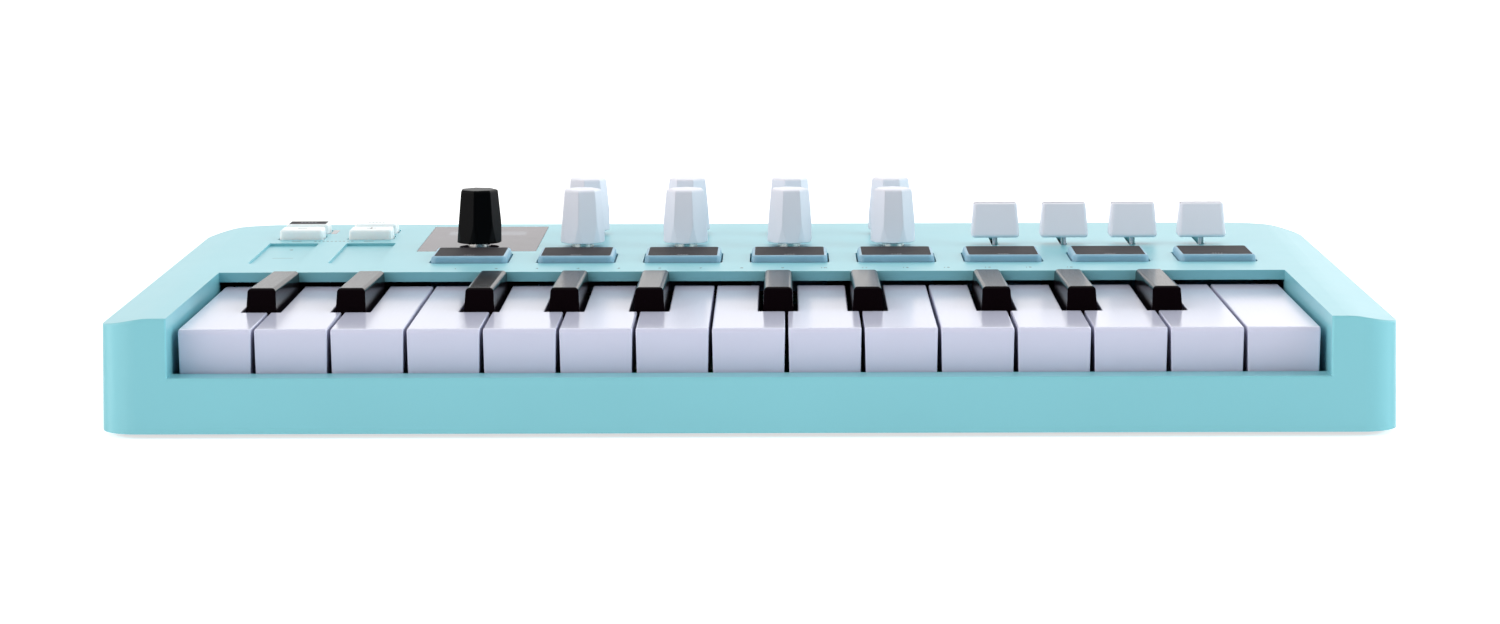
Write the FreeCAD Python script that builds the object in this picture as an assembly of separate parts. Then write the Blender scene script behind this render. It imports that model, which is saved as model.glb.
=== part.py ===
import FreeCAD
import Part
import math
import os

# A compact 25-key MIDI keyboard in millimetres, with one STEP file for each piece or group of alike pieces.
#
# Shapes are drawn from the middle of the front bottom edge of the case: +X to the player's right, +Y to the
# back, +Z up from the case's underside. write_node then moves them to the row frame, whose origin is the
# middle of the footprint at the level on which the rubber feet stand.

V = FreeCAD.Vector
UP = V(0, 0, 1)
RIGHT = V(1, 0, 0)
BACK = V(0, 1, 0)

# ---- driving dimensions ------------------------------------------------------------------

# Case
CASE_WIDTH = 356.6
SIDE_DRAFT = 0.6
CASE_DEPTH = 220.0
CASE_HEIGHT = 32.0
WALL = 2.5
FRONT_CORNER_RADIUS = 10.5
REAR_CORNER_RADIUS = 25.0
OUTER_EDGE_RADIUS = 0.6
FACET_SLOPE = 0.19
FACET_RIDGE_FRONT_X = 165.4
FACET_RIDGE_REAR_X = 169.3
FACET_BLEND_RADIUS = 25.0
FOOT_HEIGHT = 1.5
FOOT_RADIUS = 6.5
FOOT_RECESS = 0.6
JOINT_GAP = 0.3

# Keybed opening
WELL_HALF_WIDTH = 158.8
LIP_DEPTH = 8.2
LIP_HEIGHT = 15.5
LIP_DROP_Z = 8.0
WELL_REAR_Y = 97.2
WELL_REAR_LOW_Z = 29.1
WELL_WALL_LOW_Z = 7.0

# Keys
WHITE_COUNT = 15
WHITE_PITCH = 21.0
KEY_GAP = 0.9
WHITE_FRONT_Y = 9.0
WHITE_TOP_Z = 27.6
WHITE_BOTTOM_Z = 13.0
WHITE_REAR_Y = 98.0
WHITE_FRONT_EDGE_RADIUS = 1.5
WHITE_DRAFT = 0.3
NOTCH_FRONT_Y = 42.9
NOTCH_WIDTH = 11.2
KEY_WALL = 1.5
KEY_TOP_THICKNESS = 2.2
BLACK_OFFSETS = {0: -2.4, 1: 2.1, 3: -3.35, 4: -0.15, 5: 3.0}
BLACK_NAMES = {0: "c_sharp", 1: "d_sharp", 3: "f_sharp", 4: "g_sharp", 5: "a_sharp"}
WHITE_NAMES = "cdefgab"
BLACK_BASE_WIDTH = 8.6
BLACK_TOP_WIDTH = 7.9
BLACK_FRONT_Y = 43.8
BLACK_TOP_FRONT_Y = 46.2
BLACK_REAR_Y = 96.2
BLACK_TOP_FRONT_Z = 34.1
BLACK_TOP_REAR_Z = 32.5
BLACK_BOTTOM_Z = 17.0
BLACK_EDGE_RADIUS = 1.2

# Key hinge: every key snaps over one rail
PIVOT_Y = 109.0
PIVOT_Z = 19.0
RAIL_RADIUS = 1.5
BARREL_RADIUS = 3.2
RUNNING_CLEARANCE = 0.05
TAIL_HALF_WIDTH = 3.4
TAIL_BOTTOM_Z = 15.8
TAIL_TOP_Z = 24.0
HOOK_MOUTH = 2.4
PLUNGER_RADIUS = 1.5

# Key chassis
CHASSIS_BOTTOM_Z = 4.0
CHASSIS_TOP_Z = 6.0
CHASSIS_FRONT_Y = 12.0
CHASSIS_REAR_Y = 113.5
CHASSIS_HALF_WIDTH = 157.5
RIB_THICKNESS = 2.0
RIB_DEPTH = 5.0
WHITE_GUIDE = (5.0, 7.0)
WHITE_GUIDE_Y = 23.0
WHITE_GUIDE_TOP_Z = 18.5
BLACK_GUIDE = (3.2, 6.0)
BLACK_GUIDE_Y = 53.0
BLACK_GUIDE_TOP_Z = 21.5
CABLE_SLOT = (16.0, 5.0)

# Return springs, one under each key's tail
SPRING_WIRE_RADIUS = 0.35
SPRING_WIRE_SIDES = 6
SPRING_RADIUS = 1.9
SPRING_PITCH = 3.0
SPRING_Y = 100.3
SPRING_SLACK = 0.75

# Flat cable between the key contacts and the main board
CABLE_X = -64.0
CABLE_FRONT_Y = 70.0
CABLE_REAR_Y = 118.0
CABLE_WIDTH = 12.0
CABLE_THICKNESS = 0.4

# Boards
BOARD_THICKNESS = 1.6
CONTROL_BOARD_TOP_Z = 22.0
CONTROL_BOARD_FRONT_Y = 114.5
CONTROL_BOARD_REAR_Y = 206.0
CONTROL_BOARD_HALF_WIDTH = 161.0
CONTACT_BOARD_Z = 7.0
CONTACT_BOARD_FRONT_Y = 58.0
CONTACT_BOARD_REAR_Y = 84.0
DOME_SKIRT_RADIUS = 4.0
DOME_SKIRT_HEIGHT = 0.5
DOME_FOOT_RADIUS = 3.2
DOME_TOP_RADIUS = 2.0
DOME_HEIGHT = 1.8
CONNECTOR_BOARD_Z = 5.0
CONNECTOR_BOARD_X = (26.0, 114.0)
CONNECTOR_BOARD_FRONT_Y = 180.0
ENCODER_BODY = 11.0
MAIN_ENCODER_BODY = 12.4
SLIDE_BODY = (9.0, 44.0)
SWITCH_BODY = 6.2
SWITCH_TOP_Z = 25.4
SWITCH_CAP_RADIUS = 1.7
SWITCH_CAP_TOP_Z = 26.1
PAD_SENSOR = (22.0, 21.0)

# Control panel grid
GRID_FIRST_X = -86.0
GRID_PITCH = 32.5
KNOB_FRONT_Y = 159.0
KNOB_REAR_Y = KNOB_FRONT_Y + GRID_PITCH

# Pads
PAD_COUNT = 8
PAD_CENTRE_Y = 129.3
PAD_BASE = (23.2, 23.2)
PAD_TOP = (22.6, 22.6)
PAD_TOP_Z = 34.1
PAD_EDGE_RADIUS = 0.9
PAD_CORNER_RADIUS = 1.8
PAD_TRAVEL = 0.8
PAD_FLANGE = 1.2
PAD_FLANGE_BOTTOM_Z = 27.8
FLANGE_TOP_Z = 29.2
OPENING_CLEARANCE = 0.5

# Knobs: a round cap trimmed by seven flats that lean in towards the top
KNOB_BOTTOM_Z = 33.5
KNOB_TOP_Z = 50.2
KNOB_RADIUS = 7.0
KNOB_TOP_EDGE_RADIUS = 0.8
KNOB_FOOT_EDGE_RADIUS = 0.4
KNOB_FLATS = 7
KNOB_FLAT_BOTTOM = 6.85
KNOB_FLAT_TOP = 5.4
KNOB_SKIRT_RADIUS = 5.4
KNOB_SKIRT_DEPTH = 9.0
KNOB_HUB_RADIUS = 4.2
KNOB_HUB_RECESS = 0.8
SPINDLE_RADIUS = 3.0
SPINDLE_BOTTOM_Z = 24.0
SPINDLE_TOP_Z = 44.0
SPINDLE_FLAT = 1.5
SQUARE_END = 2.4
SQUARE_END_BOTTOM_Z = 23.2
SQUARE_END_TOP_Z = 28.4
ROTOR_RADIUS = 4.4
ROTOR_BOTTOM_Z = 24.2
ROTOR_TOP_Z = 27.4
BUSH_RADIUS = 3.5
BUSH_TOP_Z = 32.9
KNOB_REST_TURNS = {"front": (-7.5, -31.0, -18.0, -25.0), "rear": (-7.0, -34.6, -12.0, -22.0)}
ENCODER_REST_TURN = -10.0

# Faders
FADER_COUNT = 4
FADER_FIRST_X = 76.3
FADER_PITCH = 21.6
FADER_REST_Y = 162.5
FADER_TRAVEL = 30.0
FADER_CAP_BASE = (15.1, 9.0)
FADER_CAP_TOP = (13.5, 5.0)
FADER_CAP_BOTTOM_Z = 34.4
FADER_CAP_TOP_Z = 45.1
FADER_CAP_CORNER_RADIUS = 1.2
FADER_CAP_EDGE_RADIUS = 0.5
FADER_CAP_FOOT_RADIUS = 1.0
FADER_HOLLOW_FOOT = (11.2, 5.4)
FADER_HOLLOW_ROOF = (10.4, 4.4)
FADER_HOLLOW_DEPTH = 6.0
FADER_LINE_WIDTH = 2.2
FADER_LINE_DEPTH = 0.3
LEVER_WIDTH = 1.4
LEVER_DEPTH = 3.0
LEVER_BOTTOM_Z = 24.0
SLOT_WIDTH = 2.2

# Buttons: name -> (column, row)
BUTTON_COLUMNS_X = (-144.7, -122.6)
BUTTON_ROWS_Y = (183.4, 199.0)
BUTTON_BASE = (13.9, 10.0)
BUTTON_TOP = (13.4, 9.5)
BUTTON_TOP_Z = 35.1
BUTTON_CORNER_RADIUS = 1.0
BUTTON_EDGE_RADIUS = 0.8
BUTTON_FLANGE = 1.0
BUTTON_FLANGE_BOTTOM_Z = 28.0
BUTTON_STEM = 5.0
BUTTON_STEM_BOTTOM_Z = 27.0
BUTTONS = {"octave_down_button": (0, 0), "octave_up_button": (1, 0),
           "shift_button": (0, 1), "hold_button": (1, 1)}

# Touch strips
STRIP_CENTRES_X = (-145.5, -121.1)
STRIP_WIDTH = 15.6
STRIP_FRONT_Y = 118.6
STRIP_REAR_Y = 168.8
STRIP_DEPTH = 0.85

# Display window
WINDOW = (-104.7, -67.4, 146.9, 212.4)
WINDOW_THICKNESS = 1.2
WINDOW_HOLE_RADIUS = 6.25
DISPLAY = (-98.5, -73.6, 189.5, 199.1)

# Rear sockets
USB_X = 40.0
DIN_X = 68.0
JACK_X = 98.0
LOCK_X = 120.0
DIN_Z = 16.0
JACK_Z = 13.0
DIN_RADIUS = 7.6
JACK_RADIUS = 5.5
JACK_BORE_RADIUS = 3.25
SOCKET_RECESS = 0.3
USB_OUTER = (9.0, 3.2)
USB_INNER = (8.2, 2.4)
LOCK_SLOT = (7.0, 3.0)
LOCK_Z = 13.0

# Screws
SCREW_RADIUS = 1.5
SCREW_HEAD_RADIUS = 2.8
SCREW_HEAD_HEIGHT = 1.8
BOSS_RADIUS = 3.4
POST_RADIUS = 4.6
SMALL_POST_RADIUS = 3.5
BOARD_BOSS_RADIUS = 3.0
SCREW_HOLE_CLEARANCE = 0.2
SCREW_CROSS = (3.2, 0.8)
SCREW_CROSS_DEPTH = 1.0
CASE_SCREWS = ((168.0, 22.0), (-168.0, 22.0), (168.0, 105.0), (-168.0, 105.0), (75.0, 5.6), (-75.0, 5.6),
               (140.0, 211.0), (-140.0, 211.0), (0.0, 211.0))
CHASSIS_SCREWS = ((-110.0, 36.0), (0.0, 36.0), (110.0, 36.0), (-110.0, 92.0), (0.0, 92.0), (110.0, 92.0))
BOARD_SCREWS = ((-156.5, 146.0), (156.5, 146.0), (-156.5, 190.0), (156.5, 190.0),
                (-5.35, 176.0), (60.0, 176.0))
CONNECTOR_SCREWS = ((30.0, 186.0), (110.0, 186.0))
FEET = ((-148.0, 17.0), (148.0, 17.0), (-152.0, 196.0), (152.0, 196.0))

# ---- sizes that follow from the driving dimensions ---------------------------------------

PANEL_UNDER_Z = CASE_HEIGHT - WALL
CONTACT_Y = (CONTACT_BOARD_FRONT_Y + CONTACT_BOARD_REAR_Y) / 2
CHANNEL_UNDER_Z = 26.5
PANEL_HALF_WIDTH = 160.0
FADER_XS = [FADER_FIRST_X + FADER_PITCH * i for i in range(FADER_COUNT)]
KNOB_XS = [GRID_FIRST_X + GRID_PITCH * (i + 1) for i in range(4)]
PAD_XS = [GRID_FIRST_X + GRID_PITCH * i for i in range(PAD_COUNT)]
CASE_POST_TOP_Z = 5.0
EPS = 0.001


# ---- helpers -----------------------------------------------------------------------------


def box(x0, x1, y0, y1, z0, z1):
    """A box between two corners."""
    return Part.makeBox(x1 - x0, y1 - y0, z1 - z0, V(x0, y0, z0))


def centred_box(x, y, width, depth, z0, z1):
    """A box around a vertical centre line."""
    return box(x - width / 2, x + width / 2, y - depth / 2, y + depth / 2, z0, z1)


def post(x, y, radius, z0, z1):
    """An upright cylinder."""
    return Part.makeCylinder(radius, z1 - z0, V(x, y, z0))


def prism(points, direction):
    """A polygon swept along a direction."""
    wire = Part.makePolygon(points + [points[0]])
    return Part.Face(wire).extrude(direction)


def rounded_wire(x0, x1, y0, y1, z, front_radius, rear_radius):
    """A rectangle outline with its own corner radius at the front and at the back."""
    corners = ((x0, y0, 1, 1, front_radius), (x1, y0, -1, 1, front_radius),
               (x1, y1, -1, -1, rear_radius), (x0, y1, 1, -1, rear_radius))
    ends = []
    for index, (x, y, to_x, to_y, radius) in enumerate(corners):
        along_x = V(x + to_x * radius, y, z)
        along_y = V(x, y + to_y * radius, z)
        diagonal = radius * (1 - math.sqrt(0.5))
        middle = V(x + to_x * diagonal, y + to_y * diagonal, z)
        if index in (1, 3):
            ends.append((along_x, middle, along_y))
        else:
            ends.append((along_y, middle, along_x))
    edges = []
    for index, (start, middle, end) in enumerate(ends):
        edges.append(Part.Arc(start, middle, end).toShape())
        edges.append(Part.makeLine(end, ends[(index + 1) % 4][0]))
    return Part.Wire(edges)


def rounded_block(x0, x1, y0, y1, z0, z1, front_radius, rear_radius=None):
    """An upright block with rounded vertical corners."""
    if rear_radius is None:
        rear_radius = front_radius
    wire = rounded_wire(x0, x1, y0, y1, z0, front_radius, rear_radius)
    return Part.Face(wire).extrude(V(0, 0, z1 - z0))


def rounded_around(x, y, size, grow, z0, z1, radius):
    """An upright block with rounded corners around a centre line, grown by a margin on every side."""
    half_width = size[0] / 2 + grow
    half_depth = size[1] / 2 + grow
    return rounded_block(x - half_width, x + half_width, y - half_depth, y + half_depth, z0, z1, radius)


def tapered_block(x, y, base, top, z0, z1, radius):
    """An upright block that narrows from its base size to its top size."""
    wires = []
    for (width, depth), z in ((base, z0), (top, z1)):
        sides = (x - width / 2, x + width / 2, y - depth / 2, y + depth / 2)
        wires.append(rounded_wire(*sides, z, radius, radius))
    return Part.makeLoft(wires, True, True)


def edges_at_height(shape, z):
    """The edges that lie wholly in the level plane at z."""
    return [e for e in shape.Edges if abs(e.BoundBox.ZMin - z) < EPS and abs(e.BoundBox.ZMax - z) < EPS]


def fuse(shapes):
    """One solid from several that touch."""
    return shapes[0].multiFuse(shapes[1:]).removeSplitter()


# ---- case --------------------------------------------------------------------------------


def case_plan_block(inset, z0, z1):
    """The case's outline at its narrow top, moved in by inset, as a block."""
    half = CASE_WIDTH / 2 - SIDE_DRAFT - inset
    return rounded_block(-half, half, inset, CASE_DEPTH - inset, z0, z1,
                         FRONT_CORNER_RADIUS - inset, REAR_CORNER_RADIUS - inset)


def half_width_at(z):
    """Half the case's outer width at a height; the sides lean in towards the top."""
    return CASE_WIDTH / 2 - SIDE_DRAFT * z / CASE_HEIGHT


def leaning_block():
    """The case's outer block with its leaning sides."""
    wires = []
    for z in (0, CASE_HEIGHT):
        half = half_width_at(z)
        wires.append(rounded_wire(-half, half, 0, CASE_DEPTH, z, FRONT_CORNER_RADIUS, REAR_CORNER_RADIUS))
    return Part.makeLoft(wires, True, True)


def side_facet_cutter(side):
    """What the falling side facet takes off the flat top; the ridge leans outward towards the back."""
    angle = math.atan(FACET_SLOPE)
    tangent = FACET_BLEND_RADIUS * math.tan(angle / 2)
    ridge = FACET_RIDGE_FRONT_X
    start = V(side * (ridge - tangent), 0, CASE_HEIGHT)
    end = V(side * (ridge + tangent * math.cos(angle)), 0, CASE_HEIGHT - tangent * math.sin(angle))
    sagitta = FACET_BLEND_RADIUS * (1 - math.cos(angle / 2))
    middle_x = ridge - tangent + FACET_BLEND_RADIUS * math.sin(angle / 2)
    middle = V(side * middle_x, 0, CASE_HEIGHT - sagitta)
    reach = 30.0
    low = V(side * (ridge + reach), 0, CASE_HEIGHT - reach * FACET_SLOPE)
    high = V(side * (ridge + reach), 0, CASE_HEIGHT + 5)
    inner_high = V(side * (ridge - tangent), 0, CASE_HEIGHT + 5)
    arc = Part.Arc(start, middle, end).toShape()
    wire = Part.Wire([arc, Part.makeLine(end, low), Part.makeLine(low, high),
                      Part.makeLine(high, inner_high), Part.makeLine(inner_high, start)])
    lean = (FACET_RIDGE_REAR_X - FACET_RIDGE_FRONT_X) / (CASE_DEPTH - REAR_CORNER_RADIUS)
    run = CASE_DEPTH + 20
    cutter = Part.Face(wire).extrude(V(side * lean * run, run, 0))
    cutter.translate(V(-side * lean * 10, -10, 0))
    return cutter


def case_outer():
    """The closed outer form of the case, before it is hollowed."""
    block = leaning_block()
    block = block.cut(side_facet_cutter(1))
    block = block.cut(side_facet_cutter(-1))
    opening = box(-WELL_HALF_WIDTH, WELL_HALF_WIDTH, LIP_DEPTH, WELL_REAR_Y, LIP_HEIGHT, CASE_HEIGHT + 5)
    front_gap = box(-WELL_HALF_WIDTH, WELL_HALF_WIDTH, -5, LIP_DEPTH + EPS, LIP_HEIGHT, CASE_HEIGHT + 5)
    block = block.cut(opening)
    return block.cut(front_gap)


def outer_rim_edges(block):
    """Edges of the case's top outline: front faces of the cheeks, lip, sides and back."""
    rim = []
    half = half_width_at(CASE_HEIGHT)
    for edge in block.Edges:
        bounds = edge.BoundBox
        if bounds.ZMin < LIP_HEIGHT - EPS:
            continue
        on_side = max(abs(bounds.XMin), abs(bounds.XMax)) > half - REAR_CORNER_RADIUS
        on_front = bounds.YMax < FRONT_CORNER_RADIUS + EPS
        on_back = bounds.YMin > CASE_DEPTH - REAR_CORNER_RADIUS - EPS
        middle = edge.valueAt((edge.FirstParameter + edge.LastParameter) / 2)
        near_outline = is_on_outline(middle)
        if near_outline and (on_side or on_front or on_back):
            rim.append(edge)
    return rim


def is_on_outline(point):
    """True for a point on the case's outer outline in plan."""
    half = half_width_at(point.z)
    x = abs(point.x)
    y = point.y
    if y < FRONT_CORNER_RADIUS and x > half - FRONT_CORNER_RADIUS:
        centre = (half - FRONT_CORNER_RADIUS, FRONT_CORNER_RADIUS)
        return abs(math.hypot(x - centre[0], y - centre[1]) - FRONT_CORNER_RADIUS) < 0.01
    if y > CASE_DEPTH - REAR_CORNER_RADIUS and x > half - REAR_CORNER_RADIUS:
        centre = (half - REAR_CORNER_RADIUS, CASE_DEPTH - REAR_CORNER_RADIUS)
        return abs(math.hypot(x - centre[0], y - centre[1]) - REAR_CORNER_RADIUS) < 0.01
    return abs(x - half) < 0.01 or y < 0.01 or y > CASE_DEPTH - 0.01


def case_inside():
    """The hollow under the panel and beside the keybed."""
    low = case_plan_block(WALL, -1, CHANNEL_UNDER_Z)
    panel_room = box(-PANEL_HALF_WIDTH, PANEL_HALF_WIDTH, WELL_REAR_Y + 2, CASE_DEPTH - WALL - 4,
                     CHANNEL_UNDER_Z - 1, PANEL_UNDER_Z)
    rim_room = box(-WELL_HALF_WIDTH, WELL_HALF_WIDTH, WELL_REAR_Y - 1, WELL_REAR_Y + 3,
                   CHANNEL_UNDER_Z - 1, WELL_REAR_LOW_Z)
    return fuse([low, panel_room, rim_room])


def lip_and_cheek_walls():
    """The shelf behind the front lip and the walls at both ends of the keybed."""
    inner = WELL_HALF_WIDTH + WALL
    walls = [box(-inner, inner, WALL - 1, LIP_DEPTH, LIP_HEIGHT - WALL, LIP_HEIGHT),
             box(-inner, inner, LIP_DEPTH - 2, LIP_DEPTH, LIP_DROP_Z, LIP_HEIGHT)]
    for side in (1, -1):
        x0, x1 = sorted((side * WELL_HALF_WIDTH, side * inner))
        walls.append(box(x0, x1, WALL - 1, WELL_REAR_Y + 2, WELL_WALL_LOW_Z, CHANNEL_UNDER_Z + 1))
    return walls


def panel_openings():
    """Everything that is cut through or into the control panel."""
    z0 = CHANNEL_UNDER_Z - 1
    z1 = CASE_HEIGHT + 1
    cuts = []
    for x in PAD_XS:
        cuts.append(rounded_around(x, PAD_CENTRE_Y, PAD_BASE, OPENING_CLEARANCE, z0, z1, 2.0))
    for column, row in BUTTONS.values():
        place = (BUTTON_COLUMNS_X[column], BUTTON_ROWS_Y[row])
        cuts.append(rounded_around(*place, BUTTON_BASE, OPENING_CLEARANCE, z0, z1, 1.2))
    for x in KNOB_XS:
        for y in (KNOB_FRONT_Y, KNOB_REAR_Y):
            cuts.append(post(x, y, BUSH_RADIUS + 0.2, z0, z1))
    cuts.append(post(GRID_FIRST_X, KNOB_FRONT_Y, BUSH_RADIUS + 0.2, z0, z1))
    for x in FADER_XS:
        y0 = FADER_REST_Y - LEVER_DEPTH / 2 - 0.8
        y1 = FADER_REST_Y + FADER_TRAVEL + LEVER_DEPTH / 2 + 0.8
        cuts.append(rounded_block(x - SLOT_WIDTH / 2, x + SLOT_WIDTH / 2, y0, y1, z0, z1, 0.3))
    for x in STRIP_CENTRES_X:
        cuts.append(rounded_block(x - STRIP_WIDTH / 2, x + STRIP_WIDTH / 2, STRIP_FRONT_Y, STRIP_REAR_Y,
                                  CASE_HEIGHT - STRIP_DEPTH, z1, 0.6))
    x0, x1, y0, y1 = WINDOW
    cuts.append(rounded_block(x0, x1, y0, y1, CASE_HEIGHT - WINDOW_THICKNESS, z1, 0.4))
    x0, x1, y0, y1 = DISPLAY
    cuts.append(box(x0 - 1, x1 + 1, y0 - 1, y1 + 1, z0, z1))
    return cuts


def rear_wall_openings():
    """Cut-outs in the back wall for the sockets and the security slot."""
    y = CASE_DEPTH - WALL - 1
    depth = WALL + 2
    usb = box(USB_X - 4.8, USB_X + 4.8, y, y + depth, 6.3, 10.1)
    din = Part.makeCylinder(DIN_RADIUS + 0.3, depth, V(DIN_X, y, DIN_Z), BACK)
    jack = Part.makeCylinder(JACK_RADIUS + 0.3, depth, V(JACK_X, y, JACK_Z), BACK)
    width, height = LOCK_SLOT
    lock = box(LOCK_X - width / 2, LOCK_X + width / 2, y, y + depth,
               LOCK_Z - height / 2, LOCK_Z + height / 2)
    return [usb, din, jack, lock]


def top_cover():
    """The main shell: front wall and lip, cheeks, control panel, back wall, screw bosses."""
    outer = case_outer()
    outer = outer.makeFillet(OUTER_EDGE_RADIUS, outer_rim_edges(outer))
    shell = outer.cut(case_inside())
    shell = fuse([shell] + lip_and_cheek_walls())
    for x, y in CASE_SCREWS:
        shell = shell.fuse(post(x, y, BOSS_RADIUS, CASE_POST_TOP_Z + 0.1, boss_roof(y) + 1))
    for x, y in BOARD_SCREWS:
        shell = shell.fuse(post(x, y, BOARD_BOSS_RADIUS, CONTROL_BOARD_TOP_Z, PANEL_UNDER_Z + 1))
    pilots = [post(x, y, SCREW_RADIUS + RUNNING_CLEARANCE, 0, 13.0) for x, y in CASE_SCREWS]
    pilots += [post(x, y, SCREW_RADIUS + RUNNING_CLEARANCE, 20, 28.0) for x, y in BOARD_SCREWS]
    shell = shell.cut(Part.makeCompound(pilots))
    shell = shell.cut(Part.makeCompound(panel_openings()))
    shell = shell.cut(Part.makeCompound(rear_wall_openings()))
    return [shell.removeSplitter()]


def boss_roof(y):
    """Underside height that a case boss grows from: the lip's shelf at the front, the shell elsewhere."""
    return LIP_HEIGHT - WALL if y < LIP_DEPTH else CHANNEL_UNDER_Z


def bottom_cover():
    """The flat tray inside the top cover's walls, with screw posts and foot recesses."""
    inset = WALL + JOINT_GAP
    tray = case_plan_block(inset, 0, WALL)
    posts = [post(x, y, POST_RADIUS, WALL - 1, CASE_POST_TOP_Z) for x, y in CASE_SCREWS]
    posts += [post(x, y, SMALL_POST_RADIUS, WALL - 1, CHASSIS_BOTTOM_Z) for x, y in CHASSIS_SCREWS]
    posts += [post(x, y, SMALL_POST_RADIUS, WALL - 1, CONNECTOR_BOARD_Z) for x, y in CONNECTOR_SCREWS]
    tray = fuse([tray] + posts)
    tray = tray.common(case_plan_block(inset, -1, CASE_POST_TOP_Z + 1))
    cuts = [post(x, y, SCREW_HEAD_RADIUS + 0.3, -1, 3.0) for x, y in CASE_SCREWS]
    cuts += [post(x, y, SCREW_RADIUS + SCREW_HOLE_CLEARANCE, -1, 10) for x, y in CASE_SCREWS]
    for x, y in CHASSIS_SCREWS + CONNECTOR_SCREWS:
        cuts.append(post(x, y, SCREW_RADIUS + RUNNING_CLEARANCE, 0.8, 10))
    cuts += [post(x, y, FOOT_RADIUS + 0.2, -1, FOOT_RECESS) for x, y in FEET]
    return [tray.cut(Part.makeCompound(cuts))]


# ---- keys --------------------------------------------------------------------------------


def white_edge(i):
    """The line between white key i - 1 and white key i."""
    return (i - WHITE_COUNT / 2) * WHITE_PITCH


def black_centres():
    """Centre line of each black key, with the number of the white key on its left."""
    centres = {}
    for i in range(WHITE_COUNT - 1):
        if i % 7 in BLACK_OFFSETS:
            centres[i] = white_edge(i + 1) + BLACK_OFFSETS[i % 7]
    return centres


def white_sides(i):
    """Left and right faces of white key i: first of its wide front, then of its narrow back."""
    left = white_edge(i) + KEY_GAP / 2
    right = white_edge(i + 1) - KEY_GAP / 2
    centres = black_centres()
    back_left = centres[i - 1] + NOTCH_WIDTH / 2 if i - 1 in centres else left
    back_right = centres[i] - NOTCH_WIDTH / 2 if i in centres else right
    return left, right, back_left, back_right


def white_plan(i, inset, rear, z0, z1):
    """The plan of white key i, moved in by inset, as a block."""
    left, right, back_left, back_right = white_sides(i)
    front = WHITE_FRONT_Y + inset
    notch = NOTCH_FRONT_Y - inset
    points = [V(left + inset, front, z0), V(right - inset, front, z0)]
    if back_right < right:
        points.append(V(right - inset, notch, z0))
        points.append(V(back_right - inset, notch, z0))
    points.append(V(back_right - inset, rear, z0))
    points.append(V(back_left + inset, rear, z0))
    if back_left > left:
        points.append(V(back_left + inset, notch, z0))
        points.append(V(left + inset, notch, z0))
    return prism(points, V(0, 0, z1 - z0))


def white_side_profile(x0, x1):
    """Side view of a white key, with its rounded front top edge, across the key's width."""
    radius = WHITE_FRONT_EDGE_RADIUS
    front_low = V(x0, WHITE_FRONT_Y, WHITE_BOTTOM_Z)
    front_high = V(x0, WHITE_FRONT_Y, WHITE_TOP_Z - radius)
    bend = radius * (1 - math.sqrt(0.5))
    middle = V(x0, WHITE_FRONT_Y + bend, WHITE_TOP_Z - bend)
    top_front = V(x0, WHITE_FRONT_Y + radius, WHITE_TOP_Z)
    top_rear = V(x0, WHITE_REAR_Y, WHITE_TOP_Z)
    low_rear = V(x0, WHITE_REAR_Y, WHITE_BOTTOM_Z)
    edges = [Part.makeLine(front_low, front_high), Part.Arc(front_high, middle, top_front).toShape(),
             Part.makeLine(top_front, top_rear), Part.makeLine(top_rear, low_rear),
             Part.makeLine(low_rear, front_low)]
    return Part.Face(Part.Wire(edges)).extrude(V(x1 - x0, 0, 0))


def drafted_slab(left, right):
    """A slab a little narrower at the bottom than at the top, so that the gaps widen downwards."""
    points = [V(left, 0, WHITE_TOP_Z), V(right, 0, WHITE_TOP_Z),
              V(right - WHITE_DRAFT, 0, WHITE_BOTTOM_Z), V(left + WHITE_DRAFT, 0, WHITE_BOTTOM_Z)]
    return prism(points, V(0, WHITE_REAR_Y + 1, 0))


def key_tail(centre, start_y):
    """The arm under the panel that ends in a hook over the hinge rail."""
    half = TAIL_HALF_WIDTH
    arm = box(centre - half, centre + half, start_y, PIVOT_Y, TAIL_BOTTOM_Z, PIVOT_Z + BARREL_RADIUS)
    riser = box(centre - half, centre + half, start_y, WHITE_REAR_Y, TAIL_BOTTOM_Z, TAIL_TOP_Z)
    barrel = Part.makeCylinder(BARREL_RADIUS, 2 * half, V(centre - half, PIVOT_Y, PIVOT_Z), RIGHT)
    return [arm, riser, barrel]


def contact_plunger(centre):
    """The round leg inside a key that presses its contact dome."""
    return post(centre, CONTACT_Y, PLUNGER_RADIUS, WHITE_BOTTOM_Z, WHITE_TOP_Z - 1)


def hook_bore(centre):
    """The round seat for the rail and the mouth through which the hook snaps on."""
    half = TAIL_HALF_WIDTH + 1
    start = V(centre - half, PIVOT_Y, PIVOT_Z)
    seat = Part.makeCylinder(RAIL_RADIUS + RUNNING_CLEARANCE, 2 * half, start, RIGHT)
    mouth = box(centre - half, centre + half, PIVOT_Y, PIVOT_Y + BARREL_RADIUS + 1,
                PIVOT_Z - HOOK_MOUTH / 2, PIVOT_Z + HOOK_MOUTH / 2)
    return seat.fuse(mouth)


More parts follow.
